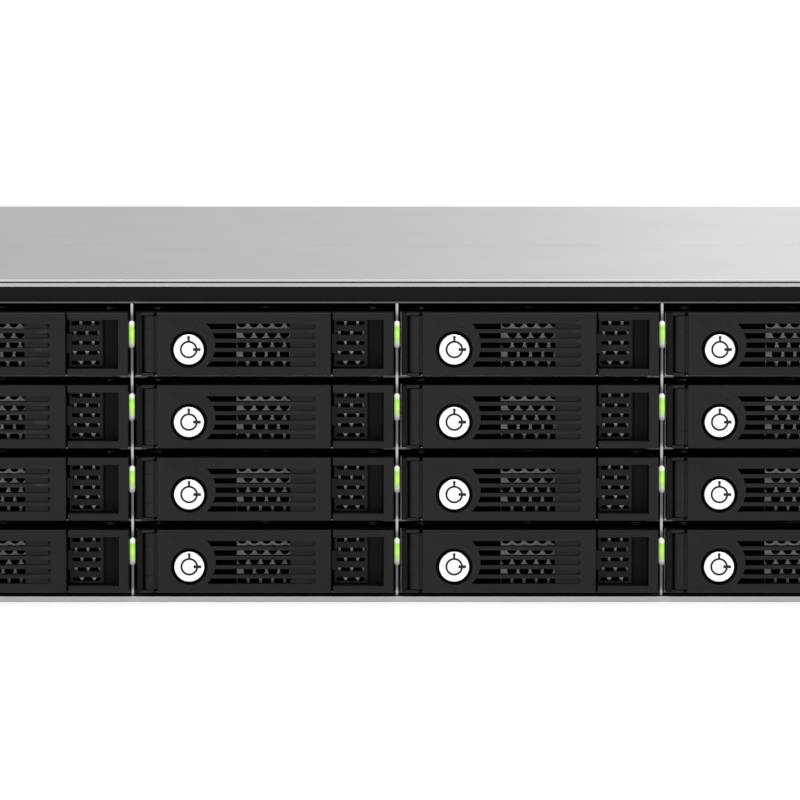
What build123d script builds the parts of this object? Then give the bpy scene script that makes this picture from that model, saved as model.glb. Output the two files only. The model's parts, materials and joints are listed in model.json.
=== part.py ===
from build123d import *
import os
from math import cos, pi, sin, sqrt

os.makedirs("parts", exist_ok=True)

# A 3U rack network attached storage with sixteen 3.5 inch bays. Millimetres, +Z up, the front faces -Y.
# The origin is at the bottom centre of the whole object, so x = 0 is the middle and z = 0 the underside.
# The functions work with y = 0 at the front edge of the steel, and save() moves each node into the frame.

# ---- driving dimensions: chassis ----
rack_units = 3
rack_unit_height = 44.45
rack_clearance = 1.35  # what a rack device stays below its full units
body_depth = 540.0
sheet = 1.2  # pan, top panel and rear panel
cage_sheet = 0.7
divider_sheet = 1.1
end_gap = 0.95  # outer divider to the side wall
slide_gap = 0.9  # tray side to divider, so that it clears the light pipe
part_gap = 0.3  # between pieces that move past each other
seam_y = 231.0  # joint between the front top panel and the rear cover
header_stack = 9.7  # underside of the bay cage's top to the top of the body
header_height = 6.1
header_depth = 10.0
hem_height = 2.9  # folded front edge of the top panel
hem_groove = 0.5
lip_height = 2.2  # folded front edge of the pan
lip_reach = 4.0  # in front of the steel
ear_width = 21.8
ear_sheet = 2.0
ear_leg = 40.0
ear_slot_offset = 13.05  # side wall to the slot's middle
ear_slot_spacing = 57.15
ear_slot_length = 10.3
ear_slot_radius = 3.5
cheek_width = 7.2
rail_hole_radius = 2.1
rail_hole_spacing = 380.0
rail_hole_rise = 20.0
rail_hole_front = 90.0

# ---- driving dimensions: bays, trays and drives ----
columns = 4
rows = 4
drive_width = 101.6
drive_length = 147.0
drive_height = 26.1
drive_play = 0.3
tray_side = 1.65
tray_base = 1.2
tray_length = 153.0
tray_side_height = 16.0
tray_back_gap = 2.0  # sled's end to its side walls' ends
first_row_z = 3.8  # lowest tray face above the underside
top_gap = 3.4  # highest tray face to the cage's top
row_gap = 3.78  # between two tray faces
face_out = 6.0  # tray faces stand this far in front of the dividers
screen_sheet = 1.0
screen_y = 5.7
screen_hole_radius = 1.7
screen_pitch_x = 5.0
screen_pitch_z = 4.3
ledge_width = 5.0
ledge_sheet = 1.0
ledge_start = 14.0
drive_y = 12.0
pin_radius = 0.8
pin_fit = 0.08
barrel_radius = 2.6
barrel_gap = 0.5  # barrel to the post beside it
lug_height = 1.2
web_half = 1.7  # half of the web from barrel to lever
post_x = 1.8
post_width = 2.7
handle_edge_gap = 0.1  # barrel to the lever's left edge
handle_thick = 5.0
handle_end_gap = 0.6
frame_width = 24.9
frame_border = 4.0
frame_strip = 2.9
frame_edge_gap = 1.4  # tray front to the divider on its right
scoop_floor = 3.2
strip = 1.5
shroud_end = 40.5
slot_count = 5
slot_height = 2.3
slot_pitch = 3.85
slot_middle = 12.6
slot_open_end = 64.7
slot_end = 75.2
slot_blind_depth = 0.9
slot_arc_radius = 17.2
slot_arc_offset = 6.5
lock_from_edge = 13.1
lock_z = 10.9
lock_radius = 6.2
lock_ring = 7.5  # dark seat round the lock's face
lock_seat_depth = 1.2
lock_proud = 0.5
lock_reach = 2.8
cam_length = 10.5
cam_width = 4.0
cam_sheet = 1.2
keyway_outer = 3.6
keyway_inner = 2.8
keyway_depth = 1.4
keyway_marks = 0.8  # depth of the tick and the notch
latch_sheet = 1.5
latch_y = 1.4
latch_width = 14.4
latch_slot_height = 1.5
latch_slot_length = 11.5
latch_slot_pitch = 4.07
latch_nose = 1.0  # it stops short of the lever's hook
catch_height = 8.0
hook_width = 4.0
hook_lip = 1.3
hook_inset = 2.5
hook_reach = 2.2
pipe_width = 2.2
pipe_height = 11.3
pipe_depth = 4.0
pipe_middle = 16.65

# ---- driving dimensions: inside and rear ----
backplane_y = 168.0
board_sheet = 1.6
socket_depth = 7.0
fan_size = 92.0
fan_depth = 38.0
fan_count = 3
fan_pitch = 138.0
fan_y = 182.0
fan_bore = 44.0
hub_radius = 19.0
blade_count = 7
standoff = 7.0
psu_width = 76.0
psu_height = 40.0
psu_length = 190.0
psu_gap = 3.0
psu_handle = 22.0
handle_bar = 4.0
psu_from_wall = 6.0
board_front = 262.0
board_gap = 8.0  # power supplies to the mainboard
board_width = 290.0
bracket_count = 4
bracket_pitch = 20.32
bracket_width = 18.4
bracket_height = 79.2
bracket_sheet = 0.9
bracket_start = 190.0  # from the mainboard's left side
bracket_z = 34.0
flange_drop = 6.0  # cover's side flanges
lip_drop = 11.0  # cover's lip over the rear panel
vent_pitch_x = 8.0
vent_pitch_z = 7.0
vent_radius = 3.0
inlet_width = 24.0
inlet_height = 16.0
inlet_depth = 14.0
inlet_from_left = 16.0
pin_recess = 5.5
port_depth = 21.0
port_back = 6.0
port_rows = (  # from the mainboard's left side, width, height, wall
    (22.0, 16.5, 13.5, 2.2),
    (40.0, 16.5, 13.5, 2.2),
    (58.0, 16.5, 13.5, 2.2),
    (76.0, 16.5, 13.5, 2.2),
    (100.0, 14.5, 16.0, 1.6),
    (117.0, 14.5, 16.0, 1.6),
    (138.0, 15.0, 10.5, 1.2),
    (155.0, 15.0, 10.5, 1.2),
)
button_radius = 2.4
button_proud = 0.8
button_travel = 1.0
button_drop = 22.0
lamp_radius = 1.0
lamp_drops = (12.0, 18.0)
screw_head = 3.0
screw_proud = 0.8
thumb_radius = 4.5
thumb_length = 5.0
thumb_x = 150.0

# ---- derived places ----
body_height = rack_units * rack_unit_height - rack_clearance
bay_pitch_x = drive_width + 2 * (drive_play + tray_side + slide_gap) + divider_sheet
bay_pitch_z = (body_height - header_stack - top_gap - first_row_z + row_gap) / rows
face_height = bay_pitch_z - row_gap
body_width = columns * bay_pitch_x + divider_sheet + 2 * (end_gap + sheet)
half_width = body_width / 2
inner_half = half_width - sheet
cage_top = body_height - header_stack
header_z = cage_top + cage_sheet
wall_top = body_height - sheet
lid_sheet = sheet - part_gap
front_reach = face_out + button_proud
rear_reach = psu_handle
front_y = -(body_depth + rear_reach - front_reach) / 2
cage_depth = backplane_y - 3.0
tray_left = divider_sheet / 2 + slide_gap
tray_right = bay_pitch_x - tray_left
sled_y = screen_y + screen_sheet
frame_right = bay_pitch_x - frame_edge_gap
frame_left = frame_right - frame_width
handle_end = frame_left - handle_end_gap
post_right = post_x + post_width
barrel_x = post_right + barrel_gap + barrel_radius
barrel_y = -(barrel_radius + barrel_gap + part_gap)
lug_radius = barrel_radius - part_gap
handle_start = barrel_x + barrel_radius + handle_edge_gap
handle_back = -face_out + handle_thick
lock_x = handle_start + lock_from_edge
psu_left = -inner_half + psu_from_wall
psu_right = psu_left + psu_width
psu_low_z = sheet + 2.3
psu_high_z = psu_low_z + psu_height + psu_gap
board_z = sheet + standoff
board_left = psu_right + board_gap
board_right = board_left + board_width
rear_inner = body_depth - sheet
button_x = half_width + cheek_width / 2 + 0.2
button_z = body_height - button_drop
bracket_left = board_left + bracket_start


def bay_corner(column, row):
    """Left divider's middle, front edge of the steel, and foot of the tray face; column 1 is on the left
    and row 1 at the top."""
    x = (column - 1 - columns / 2) * bay_pitch_x
    z = first_row_z + (rows - row) * bay_pitch_z
    return x, 0, z


def block(x0, x1, y0, y1, z0, z1):
    middle = Pos((x0 + x1) / 2, (y0 + y1) / 2, (z0 + z1) / 2)
    return middle * Box(x1 - x0, y1 - y0, z1 - z0)


def rod(radius, length, x, y, z, direction):
    """Cylinder from a point along a direction."""
    plane = Plane(origin=(x, y, z), z_dir=direction)
    return plane * Cylinder(radius, length, align=(Align.CENTER, Align.CENTER, Align.MIN))


def facing(x, y, z):
    """Sketch plane that looks back along +Y, with its own Y pointing up."""
    return Plane(origin=(x, y, z), x_dir=(-1, 0, 0), z_dir=(0, 1, 0))


def pill(x0, x1, z, height, y0, y1):
    """Slot shape along X with round ends, extruded from y0 to y1."""
    outline = SlotOverall(x1 - x0, height)
    return extrude(facing((x0 + x1) / 2, y0, z) * outline, amount=y1 - y0)


def tall_pill(x, z, width, height, y0, y1):
    """Slot shape along Z with round ends, extruded from y0 to y1."""
    outline = Rot(0, 0, 90) * SlotOverall(height, width)
    return extrude(facing(x, y0, z) * outline, amount=y1 - y0)


def hole_grid(x0, x1, z0, z1, pitch_x, pitch_z, radius, y0, y1):
    """Staggered round holes as one list of rods through y0..y1."""
    count_x = int((x1 - x0 - 2 * radius) / pitch_x)
    count_z = int((z1 - z0 - 2 * radius) / pitch_z)
    start_x = (x0 + x1 - count_x * pitch_x) / 2
    start_z = (z0 + z1 - count_z * pitch_z) / 2
    holes = []
    for j in range(count_z + 1):
        shift = pitch_x / 2 * (j % 2)
        for i in range(count_x + 1 - j % 2):
            x, z = start_x + shift + i * pitch_x, start_z + j * pitch_z
            holes.append(rod(radius, y1 - y0, x, y0, z, (0, 1, 0)))
    return holes


def moved(solids, x, y, z):
    return [Pos(x, y, z) * solid for solid in solids]


def save(name, solids):
    placed = moved(solids, 0, front_y, 0)
    pieces = [piece for part in placed for piece in part.solids()]
    export_step(Compound(children=pieces), f"parts/{name}.step")


# ---- one bay, drawn with its left divider's middle at x = 0 and the foot of its face at z = 0 ----


def tray_sled():
    sled = block(tray_left, tray_right, sled_y, sled_y + tray_length, -tray_base + 0.2, 0.2)
    for x in (tray_left, tray_right - tray_side):
        sled += block(x, x + tray_side, sled_y, sled_y + tray_length - tray_back_gap, 0.2, tray_side_height)
    sled += block(tray_left, tray_right, screen_y, sled_y, -tray_base + 0.2, face_height - 0.5)
    holes = hole_grid(
        shroud_end, frame_right - 3, 1.5, face_height - 1.5,
        screen_pitch_x, screen_pitch_z, screen_hole_radius, screen_y - 1, sled_y + 1,
    )
    return sled - holes


def hinge_pin():
    return rod(pin_radius, face_height - 2 * lug_height, barrel_x, barrel_y, lug_height, (0, 0, 1))


def front_moulding():
    """Post and lugs for the hinge on the left, shroud round the lock, and the scooped frame on the right."""
    body = block(post_x, handle_start + 1.7, 0, screen_y, 0, face_height)
    body += block(post_x, post_right, barrel_y - 1.6, 0, 0.3, face_height - 0.3)
    for z in (0, face_height - lug_height):
        body += block(post_right - 0.5, barrel_x, barrel_y - lug_radius, 0, z, z + lug_height)
        body += rod(lug_radius, lug_height, barrel_x, barrel_y, z, (0, 0, 1))
    for z in (0, face_height - strip):
        body += block(handle_start, frame_left, 0, screen_y, z, z + strip)
    body += block(handle_start, shroud_end, 0.3, 1.5, 0, face_height)
    body -= block(lock_x - lock_radius - 3.7, lock_x + cam_length + 1.7, 0, 1.6, 2, lock_z + cam_length - 1)
    body -= block(handle_start + 1.7, shroud_end, 1.5, screen_y + 1, strip, face_height - strip)
    frame = block(frame_left, frame_right, -face_out, screen_y, 0, face_height)
    front = frame.faces().sort_by(Axis.Y)[0]
    frame = chamfer(front.edges(), 0.5)
    floor_z0, floor_z1 = frame_strip, face_height - frame_strip
    frame -= block(frame_left - 1, frame_right - frame_border, -face_out - 1, scoop_floor, floor_z0, floor_z1)
    vent_right = frame_left + latch_width - 1
    frame -= block(frame_left - 1, vent_right, scoop_floor - 1, screen_y + 1, floor_z0 + 1.1, floor_z1 - 1.1)
    return body + frame


def release_catch():
    """Slotted slide in the scoop, with a nose towards the lever's end."""
    low = frame_strip + part_gap
    high = face_height - frame_strip - part_gap
    left = frame_left + 0.5
    plate = block(left, left + latch_width, latch_y, latch_y + latch_sheet, low, high)
    middle = (low + high) / 2
    for i in range(slot_count):
        z = middle + (i - (slot_count - 1) / 2) * latch_slot_pitch
        plate -= pill(left + 1, left + 1 + latch_slot_length, z, latch_slot_height, latch_y - 1, latch_y + 3)
    z0 = middle - catch_height / 2
    plate += block(left - latch_nose, left + 1, latch_y - 1.2, latch_y, z0, z0 + catch_height)
    plate += block(left - latch_nose, left + 1, latch_y, latch_y + latch_sheet, z0, z0 + catch_height)
    return plate


def hard_drive():
    left = tray_left + tray_side + drive_play
    body = block(left, left + drive_width, drive_y, drive_y + drive_length, 0.2, 0.2 + drive_height)
    corners = body.edges().filter_by(Axis.Z)
    body = fillet(corners, 3.0)
    rim_z = 0.2 + drive_height - 0.6
    front, back = drive_y + 4, drive_y + drive_length - 18
    rim = block(left + 4, left + drive_width - 4, front, back, rim_z, rim_z + 5)
    lid = block(left + 7, left + drive_width - 7, front + 3, back - 3, 0, rim_z + 5)
    return body - (rim - lid)


def lever():
    """Plate on an upright barrel, with five slots that stop at an arc round the lock."""
    z0, z1 = lug_height + part_gap, face_height - lug_height - part_gap
    plate = block(handle_start, handle_end, -face_out, handle_back, 0, face_height)
    front = plate.faces().sort_by(Axis.Y)[0]
    plate = chamfer(front.edges(), 0.5)
    plate += rod(barrel_radius, z1 - z0, barrel_x, barrel_y, z0, (0, 0, 1))
    plate += block(barrel_x, handle_start + 1, barrel_y - web_half, barrel_y + web_half, z0, z1)
    for i in range(slot_count):
        z = slot_middle + (i - (slot_count - 1) / 2) * slot_pitch
        rise = z - lock_z
        start = lock_x - slot_arc_offset + sqrt(slot_arc_radius**2 - rise**2)
        low, high = z - slot_height / 2, z + slot_height / 2
        plate -= block(start, slot_open_end, -face_out - 1, handle_back + 1, low, high)
        blind = -face_out + slot_blind_depth
        plate -= pill(slot_open_end - 3, slot_end, z, slot_height, -face_out - 1, blind)
    plate -= rod(lock_ring, lock_seat_depth, lock_x, -face_out, lock_z, (0, 1, 0))
    plate -= rod(lock_radius + 0.1, handle_thick + 2, lock_x, -face_out - 1, lock_z, (0, 1, 0))
    plate -= rod(pin_radius + pin_fit, face_height, barrel_x, barrel_y, 0, (0, 0, 1))
    stub_z = face_height / 2 - catch_height / 2
    hook_x = handle_end - hook_inset
    hook_y = latch_y + hook_reach
    plate += block(hook_x - hook_width, hook_x, handle_back, hook_y, stub_z, stub_z + catch_height)
    plate += block(hook_x, hook_x + hook_lip, hook_y - 1.2, hook_y, stub_z, stub_z + catch_height)
    return plate


def key_lock():
    """Tubular lock with a round face, an annular keyway and a cam behind."""
    face = -face_out - lock_proud
    barrel = rod(lock_radius, lock_reach - face, lock_x, face, lock_z, (0, 1, 0))
    barrel = chamfer(barrel.edges().sort_by(Axis.Y)[0], 0.4)
    groove = rod(keyway_outer, keyway_depth, lock_x, face, lock_z, (0, 1, 0))
    groove -= rod(keyway_inner, keyway_depth, lock_x, face, lock_z, (0, 1, 0))
    barrel -= groove
    mark = face + keyway_marks
    barrel -= block(lock_x - 0.5, lock_x + 0.5, face, mark, lock_z + 3, lock_z + 5)
    barrel -= block(lock_x + 1.75, lock_x + 4.85, face, mark, lock_z - 0.6, lock_z + 0.6)
    low, high = lock_z - cam_width / 2, lock_z + cam_width / 2
    cam = block(lock_x - 2, lock_x + cam_length, lock_reach, lock_reach + cam_sheet, low, high)
    return barrel + cam


def light_pipe():
    """Pill lens on the front edge of the divider to the right of its bay."""
    lens = tall_pill(bay_pitch_x, pipe_middle, pipe_width, pipe_height, -pipe_depth, 0)
    return fillet(lens.faces().sort_by(Axis.Y)[0].edges(), 0.7)


# ---- chassis ----


def pan():
    body = block(-half_width, half_width, 0, body_depth, 0, sheet)
    body += block(-inner_half, inner_half, -lip_reach, 0, 0, sheet)
    body += block(-inner_half, inner_half, -lip_reach, sheet - lip_reach, sheet, lip_height)
    for side in (-1, 1):
        x0, x1 = sorted((side * half_width, side * inner_half))
        body += block(x0, x1, 0, body_depth, sheet, wall_top)
    holes = []
    for y in (rail_hole_front, rail_hole_front + rail_hole_spacing):
        for rise in (-rail_hole_rise / 2, rail_hole_rise / 2):
            z = body_height / 2 + rise
            holes.append(rod(rail_hole_radius, body_width + 2, -half_width - 1, y, z, (1, 0, 0)))
    return [body - holes]


def front_top():
    top = block(-half_width, half_width, 0, seam_y, wall_top, body_height)
    top += block(-inner_half, inner_half, 0, sheet, body_height - hem_height, wall_top)
    groove_z = body_height - lid_sheet - hem_groove
    top -= block(-half_width - 1, half_width + 1, -1, 0.6, groove_z, groove_z + hem_groove)
    edge = top.edges().filter_by(Axis.X).group_by(Axis.Z)[-1].sort_by(Axis.Y)[0]
    return [fillet(edge, 0.4)]


def thumbscrew(x, y, z):
    """Round head with twelve grooves and a driver slot."""
    screw = rod(thumb_radius, thumb_length, x, y, z, (0, 1, 0))
    for i in range(12):
        angle = 2 * pi * i / 12
        groove_x, groove_z = x + thumb_radius * cos(angle), z + thumb_radius * sin(angle)
        screw -= rod(0.5, thumb_length + 2, groove_x, y - 1, groove_z, (0, 1, 0))
    end = y + thumb_length
    return screw - block(x - thumb_radius + 0.5, x + thumb_radius - 0.5, end - 1, end + 1, z - 0.5, z + 0.5)


def cover():
    """Sheet with a flange inside each wall and a lip over the rear panel, and two thumbscrews."""
    lid_z = body_height - lid_sheet
    rear = body_depth + part_gap + lid_sheet
    lid = block(-half_width, half_width, seam_y + 0.4, rear, lid_z, body_height)
    for side in (-1, 1):
        outer = inner_half - part_gap
        x0, x1 = sorted((side * outer, side * (outer - lid_sheet)))
        lid += block(x0, x1, seam_y + 6, rear - 3, body_height - flange_drop, lid_z)
    lid += block(-half_width + 8, half_width - 8, rear - lid_sheet, rear, body_height - lip_drop, lid_z)
    return [lid] + [thumbscrew(x, rear, body_height - lip_drop / 2 - 0.5) for x in (-thumb_x, thumb_x)]


def header():
    bar = block(-inner_half, inner_half, 0, header_depth, header_z, header_z + header_height)
    edge = bar.edges().filter_by(Axis.X).group_by(Axis.Y)[0].sort_by(Axis.Z)[0]
    bar = chamfer(edge, 0.4)
    hollow = block(-half_width - 1, half_width + 1, sheet, header_depth + 1, header_z + 1.5, body_height)
    return [bar - hollow]


def cage():
    """Top sheet, one upright divider beside each column, and a ledge for each side of each tray."""
    half = columns * bay_pitch_x / 2 + divider_sheet / 2
    body = block(-half, half, 0, cage_depth, cage_top, cage_top + cage_sheet)
    for i in range(columns + 1):
        x = (i - columns / 2) * bay_pitch_x
        body += block(x - divider_sheet / 2, x + divider_sheet / 2, 0, cage_depth, sheet, cage_top)
    top = -tray_base + 0.2 - part_gap
    ledges = []
    for column in range(1, columns + 1):
        for row in range(1, rows + 1):
            x, y, z = bay_corner(column, row)
            left = x + divider_sheet / 2
            right = x + bay_pitch_x - divider_sheet / 2
            low, high = z + top - ledge_sheet, z + top
            ledges.append(block(left, left + ledge_width, ledge_start, cage_depth, low, high))
            ledges.append(block(right - ledge_width, right, ledge_start, cage_depth, low, high))
    for ledge in ledges:
        body += ledge
    return [body]


def ear(side):
    """Folded steel ear with two rack slots, and a moulded cheek beside the body."""
    outer = half_width + ear_width
    low, high = 0.4, body_height - 0.4
    steel = block(half_width, outer, 0, ear_sheet, low, high)
    steel = fillet(steel.edges().filter_by(Axis.Y).sort_by(Axis.X)[-2:], 3.0)
    steel += block(half_width, half_width + ear_sheet, ear_sheet, ear_leg, low + 8, high - 8)
    slot_x = half_width + ear_slot_offset
    reach = ear_slot_length / 2
    for z in ((body_height - ear_slot_spacing) / 2, (body_height + ear_slot_spacing) / 2):
        steel -= pill(slot_x - reach, slot_x + reach, z, 2 * ear_slot_radius, -1, ear_sheet + 1)
    cheek = block(half_width + 0.2, half_width + 0.2 + cheek_width, -face_out, 0, low + 1, high - 1)
    cheek = fillet(cheek.faces().sort_by(Axis.Y)[0].edges(), 1.5)
    if side > 0:
        cheek -= rod(button_radius + part_gap, face_out, button_x, -face_out, button_z, (0, 1, 0))
        for drop in lamp_drops:
            cheek -= rod(lamp_radius, 1.0, button_x, -face_out, button_z - drop, (0, 1, 0))
        return [steel, cheek]
    return [mirror(steel, Plane.YZ), mirror(cheek, Plane.YZ)]


def power_button():
    length = button_proud + face_out - button_travel - part_gap
    button = rod(button_radius, length, button_x, -face_out - button_proud, button_z, (0, 1, 0))
    return [fillet(button.edges().sort_by(Axis.Y)[0], 0.4)]


# ---- rear panel and what shows in it ----

def rear_sheet():
    plate = block(-inner_half, inner_half, rear_inner, body_depth, sheet, wall_top - part_gap)
    y0, y1 = rear_inner - 1, body_depth + 1
    notch = inner_half - part_gap - lid_sheet - part_gap
    for side in (-1, 1):
        x0, x1 = sorted((side * (inner_half + 1), side * notch))
        plate -= block(x0, x1, y0, y1, body_height - flange_drop - part_gap, body_height)
    cuts = []
    for z in (psu_low_z, psu_high_z):
        cuts.append(block(psu_left - 0.4, psu_right + 0.4, y0, y1, z - 0.4, z + psu_height + 0.4))
    port_z = board_z + board_sheet
    port_top = port_z
    for left, width, height, _ in port_rows:
        x = board_left + left
        cuts.append(block(x - 0.3, x + width + 0.3, y0, y1, port_z - 0.3, port_z + height + 0.3))
        port_top = max(port_top, port_z + height)
    for i in range(bracket_count):
        x = bracket_left + i * bracket_pitch + bracket_width / 2
        cuts.append(block(x - 6.5, x + 6.5, y0, y1, bracket_z + 5, bracket_z + bracket_height - 5))
    vent_top = body_height - lip_drop - 3
    grid = (vent_pitch_x, vent_pitch_z, vent_radius, y0, y1)
    cuts += hole_grid(psu_left, psu_right, psu_high_z + psu_height + 5, vent_top, *grid)
    cuts += hole_grid(board_left + 6, bracket_left - 8, port_top + 16, vent_top, *grid)
    return [plate - cuts]


def port_block(left, width, height, wall):
    x, z = board_left + left, board_z + board_sheet
    rear = body_depth + 0.4
    front = rear - port_depth
    shell = block(x, x + width, front, rear, z, z + height)
    return shell - block(x + wall, x + width - wall, front + port_back, rear + 1, z + wall, z + height - wall)


def ports():
    return [port_block(*row) for row in port_rows]


def brackets():
    """Blanking plates with a raised rib and a folded tab."""
    plates = []
    top = bracket_z + bracket_height
    y = rear_inner - bracket_sheet
    for i in range(bracket_count):
        x0 = bracket_left + i * bracket_pitch
        x1 = x0 + bracket_width
        plate = block(x0, x1, y, rear_inner, bracket_z, top)
        plate += block(x0 + 5, x1 - 5, rear_inner, rear_inner + 0.6, bracket_z + 9, top - 9)
        plate += block(x0, x1, y - 8, y, top - bracket_sheet, top)
        plates.append(plate)
    return plates


def supply_cage():
    """Sheet box round the two power supplies, with a shelf between them."""
    right = psu_right + part_gap
    front = body_depth - psu_length - 14
    top = psu_high_z + psu_height + part_gap
    shelf = psu_low_z + psu_height + psu_gap / 2
    body = block(right, right + 1, front, rear_inner, sheet, top + 1)
    body += block(-inner_half, right, front, rear_inner, top, top + 1)
    body += block(-inner_half, right, front, rear_inner, shelf - 0.5, shelf + 0.5)
    return [body]


def supply(z):
    """Slide-out power supply: case, inlet with three pins, fan grille, pull handle and release tab."""
    rear = body_depth + 0.8
    top = z + psu_height
    case = block(psu_left, psu_right, rear - psu_length, rear, z, top)
    inlet_x, inlet_z = psu_left + inlet_from_left, z + psu_height / 2
    wide, high = inlet_width / 2, inlet_height / 2
    back = rear - inlet_depth
    case -= block(inlet_x - wide, inlet_x + wide, back, rear + 1, inlet_z - high, inlet_z + high)
    pins = []
    for dx, dz in ((-7, -2), (0, 2), (7, -2)):
        x, middle = inlet_x + dx, inlet_z + dz
        pins.append(block(x - 1, x + 1, back, rear - pin_recess, middle - 2, middle + 2))
    fan_x = psu_right - 22
    spokes = block(fan_x - 0.8, fan_x + 0.8, rear - 3, rear + 2, z, top)
    spokes += block(fan_x - 20, fan_x + 20, rear - 3, rear + 2, inlet_z - 0.8, inlet_z + 0.8)
    for radius in (15, 11, 7):
        disc = rod(radius, 3, fan_x, rear - 2, inlet_z, (0, 1, 0))
        case -= disc - rod(radius - 2.6, 3, fan_x, rear - 2, inlet_z, (0, 1, 0)) - spokes
    grip_x = inlet_x + wide + 3
    reach = body_depth + psu_handle
    grip = block(grip_x, grip_x + handle_bar, rear, reach, z + 3, top - 3)
    low, high = z + 3 + handle_bar, top - 3 - handle_bar
    grip -= block(grip_x - 1, grip_x + handle_bar + 1, rear, reach - handle_bar, low, high)
    grip = fillet(grip.edges().filter_by(Axis.X).group_by(Axis.Y)[-1], 2.0)
    tab = block(psu_right - 4, psu_right - 0.4, rear, rear + 9, z + 10, top - 10)
    return [case] + pins + [grip, tab]


def screws():
    """Round heads that stand on the side walls and the rear panel."""
    heads = []
    for side in (-1, 1):
        for y in (60.0, 200.0, 330.0, 500.0):
            heads.append(rod(screw_head, screw_proud, side * half_width, y, body_height - 14, (side, 0, 0)))
            heads.append(rod(screw_head, screw_proud, side * half_width, y, 12, (side, 0, 0)))
    for x in (board_left - 4, 0.0, board_right + 6):
        heads.append(rod(screw_head, screw_proud, x, body_depth, 5.5, (0, 1, 0)))
    for i in range(bracket_count):
        x = bracket_left + i * bracket_pitch + bracket_width / 2
        z = bracket_z + bracket_height - 2
        heads.append(rod(screw_head - 0.6, screw_proud, x, body_depth, z, (0, 1, 0)))
    return heads


# ---- inside ----


def backplane():
    """Board behind the bays, with a window beside each socket for the air."""
    half = inner_half - 3
    board = block(-half, half, backplane_y, backplane_y + board_sheet, sheet, cage_top - 2)
    sockets = []
    for column in range(1, columns + 1):
        for row in range(1, rows + 1):
            x, y, z = bay_corner(column, row)
            board -= block(x + 55, x + bay_pitch_x - 8, backplane_y - 1, backplane_y + 3, z + 6, z + 20)
            sockets.append(block(x + 8, x + 52, backplane_y - socket_depth, backplane_y, z + 1, z + 7))
    return [board] + sockets


def fan_centre(index):
    return (index - (fan_count - 1) / 2) * fan_pitch, sheet + fan_size / 2 + 14


def fan_frames():
    """Square frames with a round duct and a hub on three arms, in a partition across the body."""
    wall_y = fan_y + fan_depth
    wall = block(-inner_half, inner_half, wall_y, wall_y + 1, sheet, wall_top - 8)
    frames = []
    for i in range(fan_count):
        x, z = fan_centre(i)
        half = fan_size / 2
        wall -= rod(fan_bore, 3, x, wall_y - 1, z, (0, 1, 0))
        frame = block(x - half, x + half, fan_y, wall_y, z - half, z + half)
        frame = fillet(frame.edges().filter_by(Axis.Y), 4.0)
        frame -= rod(fan_bore, fan_depth + 2, x, fan_y - 1, z, (0, 1, 0))
        hub = rod(hub_radius, 5, x, wall_y - 5, z, (0, 1, 0))
        for turn in (90, 210, 330):
            arm = Pos(x, wall_y - 2.5, z) * Rot(0, turn, 0) * Pos((fan_bore + hub_radius) / 2, 0, 0)
            hub += arm * Box(fan_bore - hub_radius + 4, 5, 4)
        frames.append(frame + hub)
    return [wall] + frames


def fan_rotor(index):
    x, z = fan_centre(index)
    depth = fan_depth - 5 - 4
    rotor = rod(hub_radius - 1, depth, x, fan_y + 2, z, (0, 1, 0))
    for i in range(blade_count):
        turn = Pos(x, fan_y + 2 + depth / 2, z) * Rot(0, i * 360 / blade_count, 0)
        place = turn * Pos((fan_bore + hub_radius) / 2 - 2, 0, 0) * Rot(35, 0, 0)
        rotor += place * Box(fan_bore - hub_radius, depth - 4, 1.6)
    return [rotor]


def mainboard():
    board = block(board_left, board_right, board_front, rear_inner - 1, board_z, board_z + board_sheet)
    feet = []
    for x in (board_left + 12, (board_left + board_right) / 2, board_right - 12):
        for y in (board_front + 12, (board_front + rear_inner) / 2, rear_inner - 30):
            feet.append(rod(3, standoff, x, y, sheet, (0, 0, 1)))
    return [board] + feet


def heatsink():
    x, y, z = board_left + 110, board_front + 90, board_z + board_sheet
    body = block(x, x + 80, y, y + 80, z, z + 8)
    for i in range(16):
        body += block(x + 1 + i * 5.2, x + 1.9 + i * 5.2, y, y + 80, z + 8, z + 52)
    return [body]


def memory():
    z = board_z + board_sheet
    modules = []
    for i in range(4):
        x = board_left + 206 + i * 10
        socket = block(x, x + 6.5, board_front + 60, board_front + 202, z, z + 7)
        slot = block(x + 2.6, x + 3.9, board_front + 64, board_front + 198, z + 2, z + 8)
        modules.append(socket - slot)
        modules.append(block(x + 2.6, x + 3.9, board_front + 64, board_front + 197, z + 2, z + 33))
    return modules


# ---- every node ----

sled = tray_sled()
moulding = front_moulding()
pin = hinge_pin()
catch = release_catch()
drive = hard_drive()
handle = lever()
lock = key_lock()
lens = light_pipe()

reference_column, reference_row = 2, 1  # this bay's pieces each have a node of their own
lenses = []
for column in range(1, columns + 1):
    for row in range(1, rows + 1):
        corner = bay_corner(column, row)
        bay = f"c{column}r{row}"
        lenses += moved([lens], *corner)
        if (column, row) == (reference_column, reference_row):
            save(f"tray_{bay}", moved([sled], *corner))
            save(f"bezel_{bay}", moved([moulding, pin], *corner))
            save(f"drive_{bay}", moved([drive], *corner))
            save(f"latch_{bay}", moved([catch], *corner))
            save(f"handle_{bay}", moved([handle], *corner))
            save(f"lock_{bay}", moved([lock], *corner))
        else:
            save(f"tray_{bay}", moved([sled, moulding, pin, drive, catch], *corner))
            save(f"handle_{bay}", moved([handle, lock], *corner))

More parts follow.
